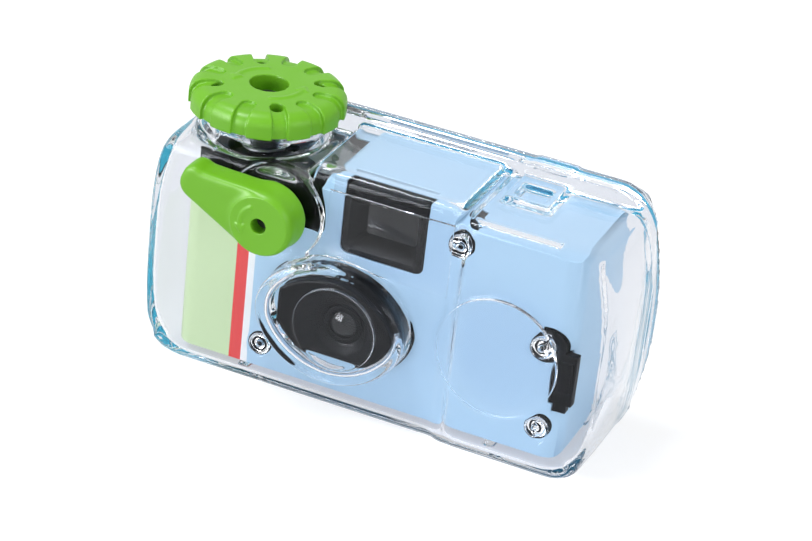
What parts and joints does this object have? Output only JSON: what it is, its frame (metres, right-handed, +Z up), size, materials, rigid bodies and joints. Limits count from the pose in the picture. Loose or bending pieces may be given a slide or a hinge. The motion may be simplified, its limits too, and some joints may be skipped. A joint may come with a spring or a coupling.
{
  "type": "disposable film camera",
  "caption": "Waterproof single-use film camera: clear oval-ported case, green winding dial on top, green shutter lever in front, card-wrapped camera inside.",
  "frame": {"origin": "middle of the case's flat underside", "axes": "+Z up, the lens looks along -Y, +X to the right as seen from the front"},
  "size_m": [0.128, 0.0523, 0.0748],
  "materials": {
    "clear_plastic": "clear moulded polystyrene",
    "lens_plastic": "polished clear acrylic",
    "green_plastic": "satin moulded green plastic",
    "black_plastic": "fine-textured black plastic",
    "white_plastic": "white plastic",
    "teal_rubber": "smooth teal rubber",
    "black_rubber": "smooth black rubber",
    "steel": "plain steel",
    "painted_can": "painted thin steel",
    "printed_card": "printed coated card",
    "film": "dark photographic film"
  },
  "bodies": {
    "case": {"front_case": "clear_plastic", "rear_case": "clear_plastic", "case_seal": "teal_rubber", "dial_o_ring": "black_rubber", "lever_o_ring": "black_rubber", "card_sleeve": "printed_card", "front_cover": "black_plastic", "viewfinder_frame": "black_plastic", "viewfinder_lens": "lens_plastic", "front_lens": "lens_plastic", "rear_lens": "lens_plastic", "lens_retainer": "black_plastic", "side_latch": "black_plastic", "camera_body": "black_plastic", "back_cover": "black_plastic", "eyepiece": "lens_plastic", "release_spring": "steel", "blade_spring": "steel", "cartridge_shell": "painted_can", "film_strip": "film", "counter_window": "lens_plastic"},
    "advance": {"advance_dial": "green_plastic", "dial_shaft": "black_plastic", "dial_screw": "steel", "dial_circlip": "steel", "wind_wheel": "black_plastic", "cartridge_spool": "black_plastic"},
    "lever": {"shutter_lever": "green_plastic", "lever_shaft": "steel", "lever_screw": "steel", "release_cam": "black_plastic"},
    "release": {"release_plunger": "black_plastic"},
    "shutter": {"shutter_blade": "steel"},
    "sprocket": {"film_sprocket": "black_plastic"},
    "counter": {"counter_disc": "white_plastic"},
    "supply": {"film_roll": "film", "supply_spool": "black_plastic"}
  },
  "joints": [
    {"name": "dial_turn", "type": "hinge", "parent": "case", "child": "advance", "pos_m": [-0.0399, -0.0016, 0.07], "axis": [0, 0, 1], "continuous": true},
    {"name": "sprocket_turn", "type": "hinge", "parent": "case", "child": "sprocket", "pos_m": [-0.018, 0.0043, 0.043], "axis": [0, 0, 1], "continuous": true},
    {"name": "counter_turn", "type": "hinge", "parent": "case", "child": "counter", "pos_m": [-0.0215, 0.001, 0.055], "axis": [0, 0, 1], "continuous": true},
    {"name": "supply_turn", "type": "hinge", "parent": "case", "child": "supply", "pos_m": [0.038, 0.0015, 0.026], "axis": [0, 0, 1], "continuous": true},
    {"name": "lever_press", "type": "hinge", "parent": "case", "child": "lever", "pos_m": [-0.0263, -0.026, 0.0514], "axis": [0, -1, 0], "range_deg": [0, 20], "stiffness_Nm_per_rad": 0.03, "springref_deg": -11.46},
    {"name": "release_slide", "type": "slide", "parent": "case", "child": "release", "axis": [0, 0, -1], "range_m": [0, 0.0014], "deforming": ["release_spring"]},
    {"name": "shutter_swing", "type": "hinge", "parent": "case", "child": "shutter", "pos_m": [-0.016, -0.011, 0.034], "axis": [0, -1, 0], "range_deg": [0, 28], "stiffness_Nm_per_rad": 0.0005, "springref_deg": -17.19}
  ],
  "couplings": [
    {"joint": "sprocket_turn", "follows": "dial_turn", "ratio": 1.15},
    {"joint": "counter_turn", "follows": "dial_turn", "ratio": -0.038},
    {"joint": "supply_turn", "follows": "dial_turn", "ratio": 0.79},
    {"joint": "release_slide", "follows": "lever_press", "m_per_rad": 0.0038213}
  ]
}
